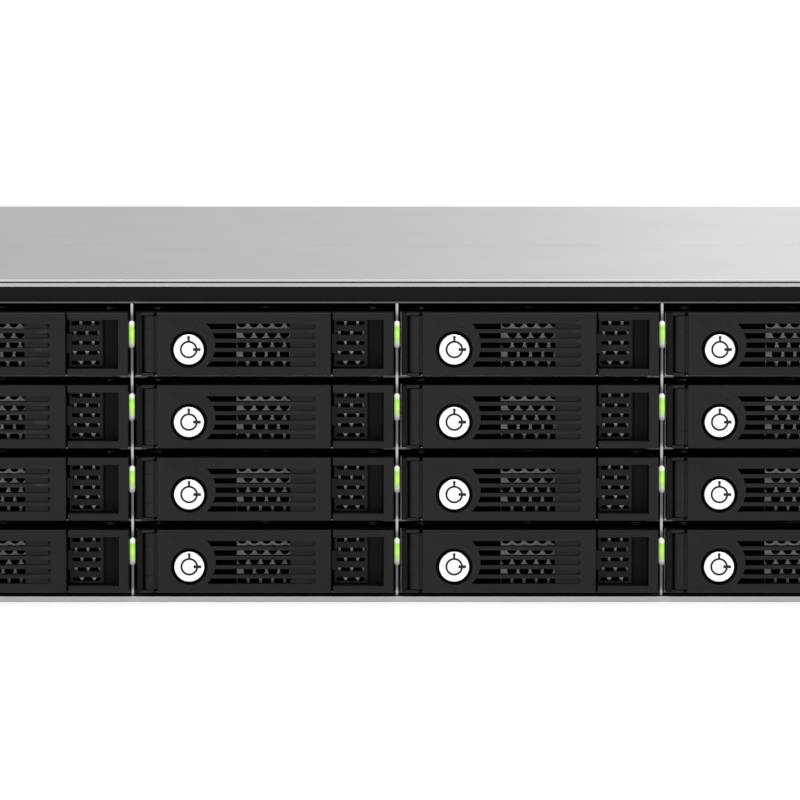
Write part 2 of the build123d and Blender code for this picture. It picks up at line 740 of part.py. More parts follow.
save("light_pipes", lenses)
save("base_pan", pan())
save("front_top_panel", front_top())
save("rear_cover", cover())
save("header_bar", header())
save("bay_dividers", cage())
save("ear_left", ear(-1))
save("ear_right", ear(1))
save("power_button", power_button())
save("rear_panel", rear_sheet())
save("port_blocks", ports())
save("slot_brackets", brackets())
save("psu_cage", supply_cage())
save("psu_lower", supply(psu_low_z))
save("psu_upper", supply(psu_high_z))
save("case_screws", screws())
save("backplane", backplane())
save("fan_frames", fan_frames())
for index in range(fan_count):
    save(f"fan_rotor_{index + 1}", fan_rotor(index))
save("mainboard", mainboard())
save("cpu_heatsink", heatsink())
save("memory_modules", memory())
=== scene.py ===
import json
import math

import bpy
from mathutils import Matrix, Vector


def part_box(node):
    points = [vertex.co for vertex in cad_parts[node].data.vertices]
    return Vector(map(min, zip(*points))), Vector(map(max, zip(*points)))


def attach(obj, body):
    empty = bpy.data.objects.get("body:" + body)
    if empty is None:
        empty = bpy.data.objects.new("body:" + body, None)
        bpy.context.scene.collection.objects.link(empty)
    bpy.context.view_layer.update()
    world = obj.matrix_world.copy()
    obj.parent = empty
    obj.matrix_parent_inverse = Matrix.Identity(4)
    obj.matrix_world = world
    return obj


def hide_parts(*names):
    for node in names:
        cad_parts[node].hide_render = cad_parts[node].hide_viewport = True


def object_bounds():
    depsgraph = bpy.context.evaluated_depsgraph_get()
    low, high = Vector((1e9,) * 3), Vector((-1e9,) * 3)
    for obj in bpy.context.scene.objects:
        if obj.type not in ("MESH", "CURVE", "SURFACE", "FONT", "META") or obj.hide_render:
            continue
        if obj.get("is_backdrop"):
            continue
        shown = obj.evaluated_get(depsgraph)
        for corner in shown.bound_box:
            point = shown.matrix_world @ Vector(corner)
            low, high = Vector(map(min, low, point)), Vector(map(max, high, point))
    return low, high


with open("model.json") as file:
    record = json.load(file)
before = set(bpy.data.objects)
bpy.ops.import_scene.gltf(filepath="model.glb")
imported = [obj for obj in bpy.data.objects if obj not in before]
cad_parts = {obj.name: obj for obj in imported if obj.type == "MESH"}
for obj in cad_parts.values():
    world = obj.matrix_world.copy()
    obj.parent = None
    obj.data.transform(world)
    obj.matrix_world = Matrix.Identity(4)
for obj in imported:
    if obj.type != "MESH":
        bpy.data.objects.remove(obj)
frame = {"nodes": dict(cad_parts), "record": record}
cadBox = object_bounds()
mm = 0.001
past = 1.0  # millimetres that a cutter runs past what it cuts
near = 0.01  # millimetres of slack where edges are picked by place
slack = 0.05  # millimetres of slack where faces are picked by place
facing = 0.9  # least part of a unit direction for it to count as along an axis

# small tools


def deselectAll():
    bpy.ops.object.select_all(action="DESELECT")


def pick(piece):
    deselectAll()
    piece.select_set(True)
    bpy.context.view_layer.objects.active = piece


def settle(piece, name):  # place, turn and scale go into the mesh
    pick(piece)
    bpy.ops.object.transform_apply(location=True, rotation=True, scale=True)
    piece.name = name
    piece.data.name = name
    return piece


def around(middle, reach):
    return middle - reach, middle + reach


def addBlock(name, x, y, z):  # x, y and z are pairs in millimetres
    deselectAll()
    bpy.ops.mesh.primitive_cube_add(size=1, location=[(a + b) / 2 * mm for a, b in (x, y, z)])
    piece = bpy.context.active_object
    piece.scale = [(b - a) * mm for a, b in (x, y, z)]
    return settle(piece, name)


def addRod(name, radius, start, length, axis="Y", sides=48):  # start in millimetres, runs along +axis
    turn = {"X": (0, math.pi / 2, 0), "Y": (-math.pi / 2, 0, 0), "Z": (0, 0, 0)}[axis]
    middle = Vector(start)
    middle["XYZ".index(axis)] += length / 2
    deselectAll()
    bpy.ops.mesh.primitive_cylinder_add(vertices=sides, radius=radius * mm, depth=length * mm,
                                        location=middle * mm, rotation=turn)
    return settle(bpy.context.active_object, name)


def addBore(name, radius, x, y, z, sides=48):  # a rod along Y, where y is its start and end
    return addRod(name, radius, (x, y[0], z), y[1] - y[0], sides=sides)


def joinAll(pieces, name):
    deselectAll()
    for piece in pieces:
        piece.select_set(True)
    bpy.context.view_layer.objects.active = pieces[0]
    bpy.ops.object.join()
    return settle(bpy.context.active_object, name)


def applyModifier(piece, kind, **settings):
    modifier = piece.modifiers.new(kind.title(), kind)
    for key, value in settings.items():
        setattr(modifier, key, value)
    pick(piece)
    bpy.ops.object.modifier_apply(modifier=modifier.name)
    return piece


def combine(piece, operation, others):
    for other in others:
        applyModifier(piece, "BOOLEAN", operation=operation, solver="EXACT", object=other)
        bpy.data.objects.remove(other)
    return piece


def cut(piece, *cutters):
    return combine(piece, "DIFFERENCE", cutters)


def weld(piece, *others):
    return combine(piece, "UNION", others)


def roundEdges(piece, width, segments, test):  # test takes an edge's middle and its direction
    pick(piece)
    bpy.ops.object.mode_set(mode="EDIT")
    bpy.ops.mesh.select_mode(type="EDGE")
    bpy.ops.mesh.select_all(action="DESELECT")
    bpy.ops.object.mode_set(mode="OBJECT")
    points = piece.data.vertices
    for edge in piece.data.edges:
        a, b = (points[i].co / mm for i in edge.vertices)
        edge.select = test((a + b) / 2, (b - a).normalized())
    bpy.ops.object.mode_set(mode="EDIT")
    bpy.ops.mesh.bevel(offset=width * mm, segments=segments, affect="EDGES")
    bpy.ops.object.mode_set(mode="OBJECT")
    return piece


def shadeSmooth(piece, degrees=40):  # edges sharper than this stay sharp
    pick(piece)
    bpy.ops.object.shade_smooth_by_angle(angle=math.radians(degrees))
    return piece


def soften(piece, width=0.15, segments=2, angle=35):  # a small round on every edge sharper than angle
    applyModifier(piece, "BEVEL", width=width * mm, segments=segments, limit_method="ANGLE",
                  angle_limit=math.radians(angle))
    shadeSmooth(piece)
    return applyModifier(piece, "WEIGHTED_NORMAL", keep_sharp=True, weight=80)


def paint(piece, material, *extras):  # extras are (material, test) pairs for some of the faces
    piece.data.materials.clear()
    piece.data.materials.append(material)
    for face in piece.data.polygons:
        face.material_index = 0
    for index, (extra, test) in enumerate(extras, 1):
        piece.data.materials.append(extra)
        for face in piece.data.polygons:
            if test(face.center / mm, face.normal):
                face.material_index = index
    return piece


def copyTo(piece, name, offset):  # a copy with its own mesh
    copy = piece.copy()
    copy.data = piece.data.copy()
    bpy.context.scene.collection.objects.link(copy)
    copy.data.transform(Matrix.Translation(offset))
    copy.name = name
    copy.data.name = name
    return copy


def cleanCopy(node, name, width):  # the node's own shape with its edges broken
    piece = frame["nodes"][node].copy()
    piece.data = frame["nodes"][node].data.copy()
    bpy.context.scene.collection.objects.link(piece)
    for key in list(piece.keys()):
        del piece[key]
    piece.parent = None
    pick(piece)
    bpy.ops.object.mode_set(mode="EDIT")
    bpy.ops.mesh.select_all(action="SELECT")
    bpy.ops.mesh.remove_doubles(threshold=near * mm)
    bpy.ops.mesh.dissolve_limited(angle_limit=math.radians(0.5))  # flat faces become one again
    bpy.ops.object.mode_set(mode="OBJECT")
    piece.name = name
    piece.data.name = name
    return soften(piece, width)


# materials

sheetMetal = {"cloud": 70, "fineShare": 0.4, "smoother": 0.03, "rougher": 0.04, "bumpDepth": 0.02}
mouldedPlastic = {"cloud": 25, "cloudShare": 0.5, "smoother": 0.05, "rougher": 0.06, "bumpDepth": 0.05,
                  "ior": 1.53}
noiseSpan = (0.3, 0.7)  # where most of a noise's values lie


def linear(hexCode):  # sRGB hex to the linear values that a shader takes
    channels = [int(hexCode[i:i + 2], 16) / 255 for i in (1, 3, 5)]
    return [c / 12.92 if c <= 0.04045 else ((c + 0.055) / 1.055) ** 2.4 for c in channels] + [1]


def addNode(material, kind, settings=None, links=None):
    tree = material.node_tree
    node = tree.nodes.new(kind)
    for key, value in (settings or {}).items():
        if key == "stops":
            while len(node.color_ramp.elements) < len(value):
                node.color_ramp.elements.new(0.5)
            for element, (place, colour) in zip(node.color_ramp.elements, value):
                element.position = place
                element.color = colour
        elif isinstance(key, int) or key in node.inputs:
            node.inputs[key].default_value = value
        else:
            setattr(node, key, value)
    for key, source in (links or {}).items():
        tree.links.new(source, node.inputs[key])
    return node


def startMaterial(name, **settings):
    material = bpy.data.materials.new(name)
    material.use_nodes = True
    material.node_tree.nodes.clear()
    place = addNode(material, "ShaderNodeTexCoord").outputs["Object"]
    inputs = {key.replace("_", " "): value for key, value in settings.items()}
    shader = addNode(material, "ShaderNodeBsdfPrincipled", inputs)
    addNode(material, "ShaderNodeOutputMaterial", links={"Surface": shader.outputs[0]})
    return material, place, shader


def grain(material, place, size, detail=3, stretch=(1, 1, 1)):  # size of one grain in millimetres
    mapping = addNode(material, "ShaderNodeMapping", {"Scale": stretch}, {"Vector": place})
    return addNode(material, "ShaderNodeTexNoise", {"Scale": 1 / (size * mm), "Detail": detail},
                   {"Vector": mapping.outputs[0]}).outputs["Fac"]


def toneRamp(material, source, *stops):  # stops are (place, hex colour) pairs
    ramp = [(place, linear(tone)) for place, tone in stops]
    return addNode(material, "ShaderNodeValToRGB", {"stops": ramp}, {"Fac": source}).outputs["Color"]


def twoTone(material, source, dark, light):
    return toneRamp(material, source, (0.35, dark), (0.65, light))


def blendTones(material, first, second, share):
    mix = addNode(material, "ShaderNodeMix", {"data_type": "RGBA", 0: share}, {6: first, 7: second})
    return mix.outputs[2]


def spread(material, source, low, high):  # a noise spread over a range of values
    return addNode(material, "ShaderNodeMapRange",
                   {"From Min": noiseSpan[0], "From Max": noiseSpan[1], "To Min": low, "To Max": high},
                   {"Value": source}).outputs["Result"]


def wire(material, source, shader, socket):
    material.node_tree.links.new(source, shader.inputs[socket])


def addBump(material, shader, height, strength, distance):  # distance in millimetres
    bump = addNode(material, "ShaderNodeBump", {"Strength": strength, "Distance": distance * mm},
                   {"Height": height})
    wire(material, bump.outputs[0], shader, "Normal")


def metalSheet(name, dark, light, rough, size, stretch=(1, 1, 1), bump=0.1):
    d = sheetMetal
    material, place, shader = startMaterial(name, Metallic=1.0)
    fine = grain(material, place, size, 4, stretch)
    cloud = grain(material, place, d["cloud"], 2)
    tone = blendTones(material, twoTone(material, cloud, dark, light), twoTone(material, fine, dark, light),
                      d["fineShare"])
    wire(material, tone, shader, "Base Color")
    wire(material, spread(material, fine, rough - d["smoother"], rough + d["rougher"]), shader, "Roughness")
    addBump(material, shader, fine, bump, d["bumpDepth"])
    return material


def moulded(name, dark, light, rough, size=0.7, bump=0.12, **settings):
    d = mouldedPlastic
    material, place, shader = startMaterial(name, IOR=d["ior"], **settings)
    fine = grain(material, place, size, 3)
    cloud = grain(material, place, d["cloud"], 3)
    wire(material, twoTone(material, cloud, dark, light), shader, "Base Color")
    wear = blendTones(material, fine, cloud, d["cloudShare"])
    wire(material, spread(material, wear, rough - d["smoother"], rough + d["rougher"]), shader, "Roughness")
    addBump(material, shader, fine, bump, d["bumpDepth"])
    return material


# zinc-coated steel with a satin finish: pale grey, almost no grain, a wide blurred highlight
satinSteel = metalSheet("satinZincSteel", "#c0c0bf", "#c6c6c5", 0.42, 0.9, bump=0.05)
# the same steel unfinished inside the case: darker, with a coarser spangle
millSteel = metalSheet("millZincSteel", "#8e9091", "#a5a7a7", 0.42, 6, bump=0.06)
# the same steel where it faces the floor, darkened and dull as painted shade, with no highlight to catch
underEdgeShade = metalSheet("steelUndersidePaintedShade", "#545454", "#626262", 0.45, 1.5)
# galvanised screen sheet painted pale as painted light: half metal, half pale diffuse, so it shows against the
# black
screenSteelPaintedLight = moulded("galvanisedScreenPaintedLight", "#cfcfce", "#e0e0df", 0.42, 2, 0.05, Metallic=0.45)
# bright nickel plate: mirror-like, slightly warm
nickelPlate = metalSheet("brightNickelPlate", "#f3f2ef", "#fbfaf8", 0.22, 2.5, bump=0.02)
# die-cast aluminium of the drive's case: pale, fine orange-peel from the mould
castAluminium = metalSheet("dieCastAluminium", "#8f9193", "#a6a8aa", 0.4, 0.8, bump=0.3)
# extruded aluminium fins: lines along the extrusion
finAluminium = metalSheet("extrudedAluminium", "#a9abad", "#c2c4c6", 0.33, 0.6, (1, 0.05, 1))
# moulded ABS with a fine spark-eroded texture: charcoal, satin, hardly any gloss
charcoalAbs = moulded("charcoalAbs", "#181819", "#1c1c1d", 0.5, Specular_IOR_Level=0.2)
# the same ABS inside the scoops and slots and on unlit sides: a touch darker and duller, as painted shade
deepAbsShade = moulded("deepCharcoalAbsPaintedShade", "#0e0e0f", "#121213", 0.55, Specular_IOR_Level=0.12)
# the same ABS deep in the gaps, painted near black and matt as painted shade, so that it stays black
shadedAbs = moulded("shadedAbs", "#040404", "#070707", 0.65, Specular_IOR_Level=0.04)
# powder coat over steel: near black, soft sheen, slight orange-peel
blackPowder = moulded("blackPowderCoat", "#0e0e0f", "#111112", 0.42, 0.5, 0.2, Specular_IOR_Level=0.1)
# painted shade in the keyway's grooves and marks: a dull dark brown
keywayShade = moulded("keywayPaintedShade", "#221f1b", "#34302a", 0.5)
# moulded PBT of the fans: near black with a soft sheen
fanPbt = moulded("mouldedPbt", "#0e0e0f", "#151516", 0.42)
# black nylon of port tongues and inlets: dull, a shade lighter in places
portNylon = moulded("blackNylon", "#0b0b0c", "#121213", 0.5)
# polypropylene of the release tabs: plain green, waxy
pullTab = moulded("greenPolypropylene", "#1d6a45", "#237a50", 0.42)
# nylon of the drive sockets: ivory, matt
socketIvory = moulded("ivoryNylon", "#b7b39f", "#c6c2ae", 0.45)
# paper label on the drive's lid: pale grey, flat
driveLabel = moulded("paperLabel", "#c9cbcc", "#d6d8d9", 0.6)


def circuitBoard():  # fibreglass with a dark green solder mask: glossy, copper runs just showing through
    material, place, shader = startMaterial("solderMaskBoard", IOR=1.5, Coat_Weight=0.3, Coat_Roughness=0.2)
    cellSize = 9
    cells = addNode(material, "ShaderNodeTexBrick",
                    {"Scale": 1 / (cellSize * mm), "Mortar Size": 0.02, "Color1": linear("#0c3a22"),
                     "Color2": linear("#0e4226"), "Mortar": linear("#1b5c38")}, {"Vector": place})
    wire(material, cells.outputs["Color"], shader, "Base Color")
    wire(material, spread(material, grain(material, place, 8), 0.32, 0.45), shader, "Roughness")
    addBump(material, shader, cells.outputs["Fac"], 0.2, 0.05)
    return material


def lightPipe():  # clear acrylic rod with a painted glow standing in for its LED: white near the top, yellow-green in the middle, grey at the foot
    material, place, shader = startMaterial("litAcrylic", IOR=1.49, Roughness=0.12, Emission_Strength=0.45)
    along = addNode(material, "ShaderNodeSeparateXYZ",
                    links={"Vector": addNode(material, "ShaderNodeUVMap").outputs[0]}).outputs["Y"]
    paintedGlow = toneRamp(material, along, (0.03, "#e6e8e4"), (0.11, "#dfe6d4"), (0.22, "#9fd957"),
                    (0.46, "#b6e766"), (0.68, "#a6d468"), (0.82, "#b0b8ac"), (0.97, "#6f756f"))
    wire(material, paintedGlow, shader, "Base Color")
    wire(material, paintedGlow, shader, "Emission Color")
    wire(material, spread(material, grain(material, place, 2), 0.1, 0.18), shader, "Roughness")
    return material


def paleFloor():  # matt white paper sweep, lit a little from beneath
    material, place, shader = startMaterial("whitePaperSweep", Roughness=0.9, Emission_Strength=0.22)
    cloud = grain(material, place, 400, 2)
    wire(material, twoTone(material, cloud, "#f4f4f3", "#f8f8f7"), shader, "Base Color")
    return material


def cutEdgesPaintedLight(foot, pitch, top):  # bare cut steel with painted light: a painted highlight between the rows of faces, painted shade beside them, and darker on top
    material, place, shader = startMaterial("cutSteelEdgePaintedLight", Metallic=1.0)
    height = addNode(material, "ShaderNodeSeparateXYZ", links={"Vector": place}).outputs["Z"]
    rise = addNode(material, "ShaderNodeMath", {"operation": "SUBTRACT", 1: foot}, {0: height}).outputs[0]
    turn = addNode(material, "ShaderNodeMath", {"operation": "DIVIDE", 1: pitch}, {0: rise}).outputs[0]
    along = addNode(material, "ShaderNodeMath", {"operation": "FRACT"}, {0: turn}).outputs[0]
    # painted light and shade by height: bright in the gaps between rows, where light gets in, dark beside the
    # faces
    rowLightAndShade = toneRamp(material, along, (0.0, "#b4b4b3"), (0.07, "#747474"), (0.8, "#747474"),
                       (0.88, "#bdbdbc"))
    onTop = addNode(material, "ShaderNodeMapRange", {"From Min": top - 0.9 * mm, "From Max": top - 0.7 * mm},
                    {"Value": height}).outputs[0]
    tone = addNode(material, "ShaderNodeMix", {"data_type": "RGBA", 7: linear("#606060")},
                   {0: onTop, 6: rowLightAndShade}).outputs[2]
    wire(material, tone, shader, "Base Color")
    wire(material, spread(material, grain(material, place, 1.5), 0.28, 0.36), shader, "Roughness")
    return material


cageLow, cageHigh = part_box("bay_dividers")
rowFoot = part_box("handle_c1r4")[0].z
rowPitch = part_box("handle_c1r3")[0].z - rowFoot
cutEdgePaintedLight = cutEdgesPaintedLight(rowFoot, rowPitch, cageHigh.z)
boardGreen = circuitBoard()
lensGreen = lightPipe()
print("materials ready:", len(bpy.data.materials))

# bay grid, read from the frame

columns, rows = 4, 4
dividerSheet = 1.1
bayPitch = (cageHigh.x - cageLow.x - dividerSheet * mm) / columns
steelFront = cageLow.y
faceHeight = (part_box("handle_c1r1")[1].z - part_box("handle_c1r1")[0].z) / mm
referenceBay = "c2r1"


def bayCorner(column, row):  # middle of the left divider, front edge of the steel, foot of the tray face
    x = cageLow.x + dividerSheet / 2 * mm + (column - 1) * bayPitch
    return Vector((x, steelFront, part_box(f"handle_c{column}r{row}")[0].z))


# lever with its hook and marks, drawn in its bay's own millimetres

lever = {"left": 10.3, "right": 81.5, "front": -6.0, "back": -1.0, "edge": 0.5, "cutY": (-8.0, 1.0),
         "slotCount": 5, "slotMiddle": 12.6, "slotPitch": 3.85, "slotHeight": 2.3, "openEnd": 64.7,
         "blindEnd": 75.2, "blindDepth": 0.9, "blindLap": 3.0, "sideStart": 0.6,
         "arcX": 21.7, "arcRadius": 12.5, "arcY": (-10.0, 4.0), "arcLap": 6.0,
         "barrelX": 7.6, "barrelY": -3.4, "barrelRadius": 2.6, "barrelGap": 1.5, "pinHole": 0.88,
         "grooveInset": 5.5, "grooveHeight": 0.35, "grooveDepth": 0.2, "webHalf": 1.7, "webLap": 0.6}
hook = {"x": (75.0, 79.0), "lap": 0.5, "back": 3.6, "half": 4.0, "lipX": (78.5, 80.3), "lipFront": 2.4}
marks = {"depth": 0.12, "arcOuter": 10.0, "arcInner": 9.55, "arcClear": 2.0, "arcFrom": (2.6, 5.6),
         "padlockX": (-1.4, 1.0), "padlockZ": (20.6, 22.2), "bowX": -0.2, "bowZ": 22.3, "bowRadius": 0.85,
         "bowHole": 0.5}
lock = {"x": 23.4, "z": 10.9, "radius": 6.2, "gap": 0.1, "edge": 0.35, "front": -6.5, "reach": 2.8,
        "seat": 7.5, "seatDepth": 1.2, "seatStart": 0.2, "ringOuter": 3.6, "ringInner": 2.8, "ringDepth": 1.4,
        "markDepth": 0.8, "tickHalf": 0.45, "tickZ": (3.3, 4.7), "dotRadius": 0.6, "dotZ": 5.0,
        "notchX": (1.75, 4.85), "notchHalf": 0.6, "darkRadius": 5.6, "darkStart": 0.1,
        "camHalf": 2.0, "camLength": 10.5, "camSheet": 1.2, "camEdge": 1.5}


def fromLock(p):  # distance from the lock's axis
    return math.hypot(p.x - lock["x"], p.z - lock["z"])


def pillCutter(name, x, z, height, y):  # slot shape along X with round ends
    reach = height / 2
    body = addBlock(name, (x[0] + reach, x[1] - reach), y, around(z, reach))
    ends = [addBore(name, reach, end, y, z, sides=24) for end in (x[0] + reach, x[1] - reach)]
    return weld(body, *ends)


def cutSlots(plate):
    d = lever
    heights = [d["slotMiddle"] + (i - d["slotCount"] // 2) * d["slotPitch"] for i in range(d["slotCount"])]
    start = d["arcX"] + d["arcLap"]  # inside the arc, which rounds this end of the slots
    reach = d["slotHeight"] / 2
    slots = [addBlock("slot", (start, d["openEnd"]), d["cutY"], around(z, reach)) for z in heights]
    cutter = joinAll(slots, "slots")
    cut(cutter, addBore("arc", d["arcRadius"], d["arcX"], d["arcY"], d["slotMiddle"], sides=128))
    cut(plate, cutter)
    blindX = (d["openEnd"] - d["blindLap"], d["blindEnd"])
    blindY = (d["cutY"][0], d["front"] + d["blindDepth"])
    for z in heights:
        cut(plate, pillCutter("blind", blindX, z, d["slotHeight"], blindY))


def cutLockSeat(plate):
    seatY = (lever["cutY"][0], lever["front"] + lock["seatDepth"])
    cut(plate, addBore("seat", lock["seat"], lock["x"], seatY, lock["z"], sides=96))
    cut(plate, addBore("bore", lock["radius"] + lock["gap"], lock["x"], lever["cutY"], lock["z"], sides=96))


def addBarrel(plate):  # the upright hinge barrel with its web and pin hole
    d = lever
    x, y = d["barrelX"], d["barrelY"]
    low, high = d["barrelGap"], faceHeight - d["barrelGap"]
    barrel = addRod("barrel", d["barrelRadius"], (x, y, low), high - low, "Z")
    for z in (low + d["grooveInset"], high - d["grooveInset"]):  # knuckle grooves
        ring = addRod("ring", d["barrelRadius"] + past, (x, y, z), d["grooveHeight"], "Z")
        core = addRod("core", d["barrelRadius"] - d["grooveDepth"], (x, y, z - past),
                      d["grooveHeight"] + 2 * past, "Z")
        cut(barrel, cut(ring, core))
    web = addBlock("web", (x, d["left"] + d["webLap"]), around(y, d["webHalf"]), (low, high))
    weld(plate, barrel, web)
    cut(plate, addRod("pinHole", d["pinHole"], (x, y, -past), faceHeight + 2 * past, "Z", 24))


def cutMarks(plate):  # a turn arc and a small padlock by the lock, both shallow
    d = marks
    x, z = lock["x"], lock["z"]
    markY = (lever["front"] - past, lever["front"] + d["depth"])
    through = (markY[0] - past, markY[1] + past)
    arc = addBore("arcMark", d["arcOuter"], x, markY, z, sides=96)
    cut(arc, addBore("inner", d["arcInner"], x, through, z, sides=96))
    reach = d["arcOuter"] + d["arcClear"]
    cut(arc, addBlock("leftOfArc", (x - reach, x + d["arcFrom"][0]), through, around(z, reach)))
    cut(arc, addBlock("belowArc", around(x, reach), through, (z - reach, z + d["arcFrom"][1])))
    cut(plate, arc)
    padlock = addBlock("padlock", [x + side for side in d["padlockX"]], markY, d["padlockZ"])
    bow = addBore("bow", d["bowRadius"], x + d["bowX"], markY, d["bowZ"], sides=24)
    cut(bow, addBore("bowHole", d["bowHole"], x + d["bowX"], through, d["bowZ"], sides=24))
    cut(plate, weld(padlock, bow))


def addHook(plate):  # reaches behind the catch
    d = hook
    z = around(faceHeight / 2, d["half"])
    arm = addBlock("hook", d["x"], (lever["back"] - d["lap"], d["back"]), z)
    lip = addBlock("hookLip", d["lipX"], (d["lipFront"], d["back"]), z)
    weld(plate, arm, lip)


def buildLever():
    d = lever
    plate = addBlock("lever", (d["left"], d["right"]), (d["front"], d["back"]), (0, faceHeight))
    roundEdges(plate, d["edge"], 3, lambda p, v: p.y < d["front"] + near)
    cutSlots(plate)
    cutLockSeat(plate)
    addBarrel(plate)
    cutMarks(plate)
    addHook(plate)
    soften(plate, 0.12)
    applyModifier(plate, "TRIANGULATE", keep_custom_normals=True)  # its front face has many corners
    # painted shade: the lever's sides take the darker ABS, its back faces and the lock's seat ring the
    # near-black ABS
    behind = lambda p, n: p.y > d["back"] - slack
    side = lambda p, n: abs(n.z) > facing and p.y > d["front"] + d["sideStart"]
    seat = lambda p, n: fromLock(p) < lock["seat"] + slack and p.y > d["front"] + lock["seatStart"]
    return paint(plate, charcoalAbs, (deepAbsShade, side), (shadedAbs, behind), (shadedAbs, seat))


def buildLock():  # barrel with its key ring, tick and notch, and a cam behind
    d = lock
    x, z = d["x"], d["z"]
    barrel = addBore("keyLock", d["radius"], x, (d["front"], d["reach"]), z, sides=96)
    roundEdges(barrel, d["edge"], 3, lambda p, v: p.y < d["front"] + near)
    ringY = (d["front"] - past, d["front"] + d["ringDepth"])
    ring = addBore("ring", d["ringOuter"], x, ringY, z, sides=64)
    cut(ring, addBore("core", d["ringInner"], x, (ringY[0] - past, ringY[1] + past), z, sides=64))
    cut(barrel, ring)
    markY = (d["front"] - past, d["front"] + d["markDepth"])
    cut(barrel, addBlock("tick", around(x, d["tickHalf"]), markY, [z + end for end in d["tickZ"]]))
    cut(barrel, addBore("tickDot", d["dotRadius"], x, markY, z + d["dotZ"], sides=20))
    cut(barrel, addBlock("notch", [x + end for end in d["notchX"]], markY, around(z, d["notchHalf"])))
    soften(barrel, 0.08)
    cam = addBlock("cam", (x - d["camHalf"], x + d["camLength"]), (d["reach"], d["reach"] + d["camSheet"]),
                   around(z, d["camHalf"]))
    soften(roundEdges(cam, d["camEdge"], 5, lambda p, v: abs(v.y) > facing))
    piece = joinAll([barrel, cam], "keyLock")
    # painted shade: faces behind the lock's front, within the keyway, take the dark keyway colour
    dark = lambda p, n: p.y > d["front"] + d["darkStart"] and fromLock(p) < d["darkRadius"]
    return paint(piece, nickelPlate, (keywayShade, dark))


# front moulding: hinge post, lugs, strips, shroud round the lever's back, and the scooped rim

moulding = {"front": -6.0, "back": 5.7, "lap": 0.2, "plateEnd": 12.0, "broken": 0.15,
            "post": (1.8, 4.5), "postFront": 1.6, "postInset": 0.3, "postEdge": 0.8,
            "lug": 1.2, "lugRadius": 2.3, "lugLap": 0.5, "innerLeft": 11.5, "strip": 1.5, "stripLap": 0.5,
            "shroudEnd": 40.5, "shroudY": (0.3, 1.5), "windowX": (-9.9, 12.2), "windowZ": (2.0, 20.4),
            "backInset": 1.0, "pocketEnd": 42.6, "pocketY": (5.2, 5.65), "gapX": (80.6, 82.9),
            "gapY": (5.0, 5.65),
            "rim": (82.1, 107.0), "rimEdge": 0.5, "border": 4.0, "edgeStrip": 2.9, "scoopFloor": 3.2,
            "scoopEdge": 1.6, "ventEnd": 13.4, "ventInset": 4.0, "scoopStart": 0.7, "scoopSide": 0.3,
            "backStart": -0.5, "backEnd": 0.1}


def addHinge(body):  # post with a lug over and under the lever's barrel
    d = moulding
    x, y = lever["barrelX"], lever["barrelY"]
    post = addBlock("post", d["post"], (y - d["postFront"], d["lap"]),
                    (d["postInset"], faceHeight - d["postInset"]))
    roundEdges(post, d["postEdge"], 4, lambda p, v: abs(v.z) > facing and p.y < -1)
    weld(body, post)
    for z in (0, faceHeight - d["lug"]):
        lug = addBlock("lug", (d["post"][1] - d["lugLap"], x), (y - d["lugRadius"], d["lap"]),
                       (z, z + d["lug"]))
        weld(body, weld(lug, addRod("lugEnd", d["lugRadius"], (x, y, z), d["lug"], "Z", 40)))


def addShroud(body):  # inner walls behind the lever, which keep the inside dark, and thin dark sheets behind the pocket and the gap as painted shade
    d = moulding
    z = (d["backInset"], faceHeight - d["backInset"])
    shroud = addBlock("shroud", (d["innerLeft"], d["shroudEnd"]), d["shroudY"], z)
    windowY = (d["shroudY"][0] - past, d["shroudY"][1] + past)
    cut(shroud, addBlock("window", [lock["x"] + side for side in d["windowX"]], windowY, d["windowZ"]))
    # painted shade: the pocket back and the gap back are dark sheets standing where there is only shade
    weld(body, shroud, addBlock("pocketShadeSheet", (d["innerLeft"], d["pocketEnd"]), d["pocketY"], z))
    weld(body, addBlock("gapShadeSheet", d["gapX"], d["gapY"], z))


def buildRim():  # frame round the catch, with a scoop for the finger and a vent behind it
    d = moulding
    left, right = d["rim"]
    start = left - 2 * past
    rim = addBlock("rim", d["rim"], (d["front"], d["back"]), (0, faceHeight))
    roundEdges(rim, d["rimEdge"], 3, lambda p, v: p.y < d["front"] + near)
    scoop = addBlock("scoop", (start, right - d["border"]), (d["front"] - 2 * past, d["scoopFloor"]),
                     (d["edgeStrip"], faceHeight - d["edgeStrip"]))
    roundEdges(scoop, d["scoopEdge"], 6, lambda p, v: abs(v.z) > facing and p.y > 0 and p.x > left)
    cut(rim, scoop)
    vent = addBlock("vent", (start, left + d["ventEnd"]), (0, d["back"] + past),
                    (d["ventInset"], faceHeight - d["ventInset"]))
    return cut(rim, vent)


def buildMoulding():
    d = moulding
    left, right = d["rim"]
    body = addBlock("moulding", (d["post"][0], d["plateEnd"]), (0, d["back"]), (0, faceHeight))
    addHinge(body)
    for z in (0, faceHeight - d["strip"]):
        strip = addBlock("strip", (d["innerLeft"], left + d["stripLap"]), (0, d["back"]), (z, z + d["strip"]))
        weld(body, strip)
    addShroud(body)
    weld(body, buildRim())
    soften(body, d["broken"])
    # painted shade: the darker ABS inside the scoop, the near-black ABS on the walls behind the lever
    inside = lambda p, n: p.y > d["front"] + d["scoopStart"] and p.x < right - d["scoopSide"]
    behind = lambda p, n: p.y > d["backStart"] and lever["left"] < p.x < left + d["backEnd"]
    return paint(body, charcoalAbs, (deepAbsShade, inside), (shadedAbs, behind))


pin = {"radius": 0.8, "inset": 1.2}


def buildPin():
    d = pin
    rod = addRod("hingePin", d["radius"], (lever["barrelX"], lever["barrelY"], d["inset"]),
                 faceHeight - 2 * d["inset"], "Z", 24)
    # painted shade: the pin takes the black powder coat, so it shows no glint in the gap between lug and barrel
    return paint(rod, blackPowder)


catch = {"x": (82.6, 97.0), "y": (1.4, 2.9), "gap": 0.3, "corner": 1.2, "slotCount": 5, "slotPitch": 4.07,
         "slotHeight": 1.5, "slotX": (1.0, 12.5), "noseReach": 1.0, "noseLap": 1.0, "noseFront": 1.2,
         "noseHalf": 4.0, "noseStart": 0.02}


